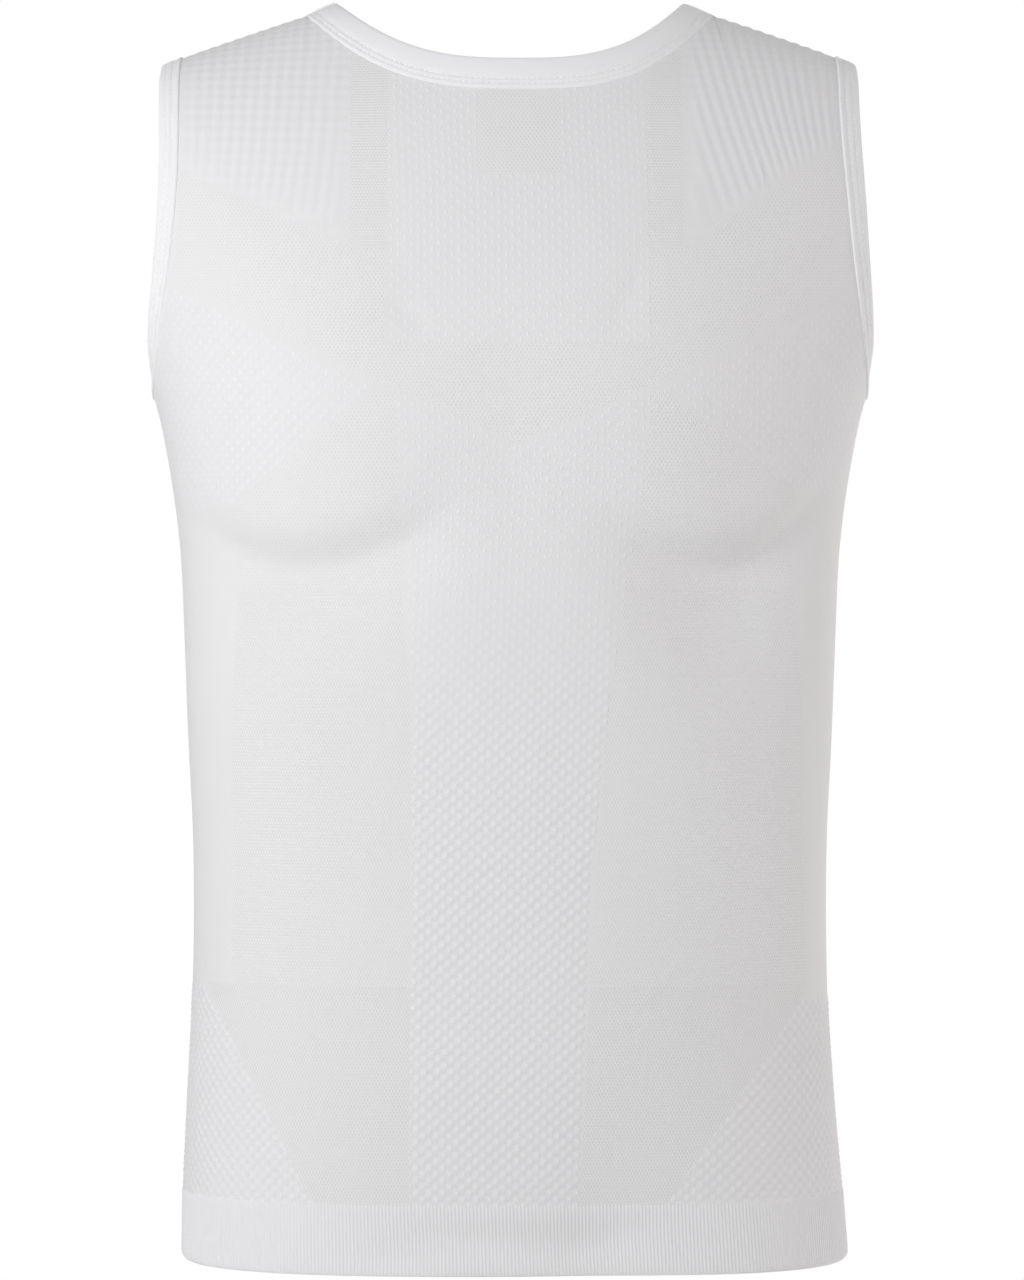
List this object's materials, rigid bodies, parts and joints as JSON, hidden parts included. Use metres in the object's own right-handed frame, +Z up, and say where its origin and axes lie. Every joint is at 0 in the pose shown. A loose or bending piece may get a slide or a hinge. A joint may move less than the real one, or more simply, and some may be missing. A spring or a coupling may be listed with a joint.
{
  "type": "base layer",
  "caption": "Sleeveless seamless knitted base layer in its worn, filled-out form: round neck, bound armholes, raised shoulder ribs and a double hem band.",
  "frame": {"origin": "centre plane at mid-shoulder height, on the plane of the shoulder seams and side lines, where the wearer's shoulders carry the garment", "axes": "+Z up, the front faces -Y, +X to the right as seen from the front (the wearer's left)"},
  "size_m": [0.3732, 0.2189, 0.6507],
  "materials": {
    "body_knit": "matt jacquard knit",
    "welt_knit": "fine ribbed double welt",
    "rib_binding": "smooth folded rib strip"
  },
  "bodies": {
    "root": {"body_front": "body_knit", "body_back": "body_knit", "hem_band": "welt_knit", "neckband": "rib_binding", "armhole_binding_left": "rib_binding", "armhole_binding_right": "rib_binding"}
  },
  "joints": []
}
